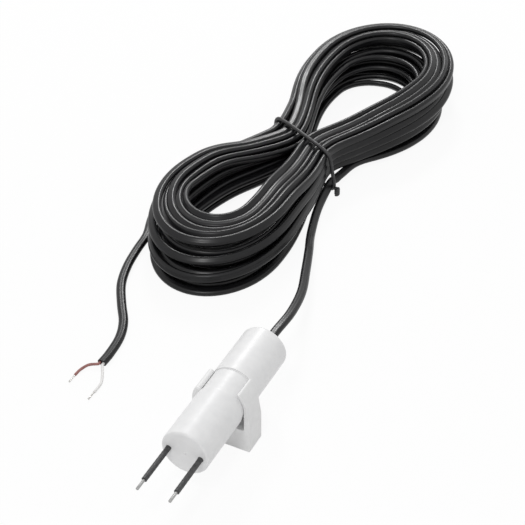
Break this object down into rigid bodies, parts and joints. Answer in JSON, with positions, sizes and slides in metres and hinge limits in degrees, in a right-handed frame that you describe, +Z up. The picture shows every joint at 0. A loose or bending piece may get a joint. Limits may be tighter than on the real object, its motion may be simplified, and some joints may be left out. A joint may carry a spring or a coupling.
{
  "type": "water leak sensor",
  "caption": "Water leak probe: white sealed tube with sleeved electrode pins, held in a snap-in clip on a flat base, on a long black flat cable tied in a hank.",
  "frame": {"origin": "middle of the clip's base face, on the axis of its screw hole, on the surface that the part lies on", "axes": "+Z up, +Y along the tube from the electrodes towards the cable, +X to the right when seen from the electrodes' end"},
  "size_m": [0.1077, 0.3421, 0.031],
  "materials": {
    "tube_plastic": "smooth moulded white plastic",
    "clip_plastic": "smooth moulded white plastic",
    "black_rubber": "soft black rubber",
    "bright_metal": "plain drawn stainless steel",
    "tin": "tinned copper strands and solder",
    "resin": "cast potting resin",
    "board": "green glass-fibre board",
    "resistor_body": "black chip resistors",
    "capacitor_body": "tan ceramic chip capacitor",
    "sleeve_plastic": "black insulating sleeve",
    "red_core": "dark red core insulation",
    "white_core": "white core insulation",
    "cable_jacket": "black flexible PVC with a soft sheen",
    "tie_plastic": "black plastic-covered tie"
  },
  "bodies": {
    "probe": {"sensor_tube": "tube_plastic", "rear_cap": "tube_plastic", "cap_seal": "black_rubber", "cable_seal": "black_rubber", "cable_clamp": "bright_metal", "potting_resin": "resin", "circuit_board": "board", "series_resistors": "resistor_body", "filter_capacitor": "capacitor_body", "electrode_left": "bright_metal", "electrode_right": "bright_metal", "sleeve_left": "sleeve_plastic", "sleeve_right": "sleeve_plastic", "electrode_solder": "tin", "core_solder": "tin", "inner_core_red": "red_core", "inner_core_white": "white_core", "cable_lead": "cable_jacket", "cable_hank": "cable_jacket", "cable_tail": "cable_jacket", "hank_tie": "tie_plastic", "tie_knot": "tie_plastic", "end_core_red": "red_core", "end_core_white": "white_core", "end_wire_red": "tin", "end_wire_white": "tin"},
    "clip": {"mounting_clip": "clip_plastic"}
  },
  "joints": [
    {"name": "clip_swivel", "type": "hinge", "parent": "probe", "child": "clip", "pos_m": [0, 0, 0.021], "axis": [0, 1, 0], "continuous": true}
  ]
}
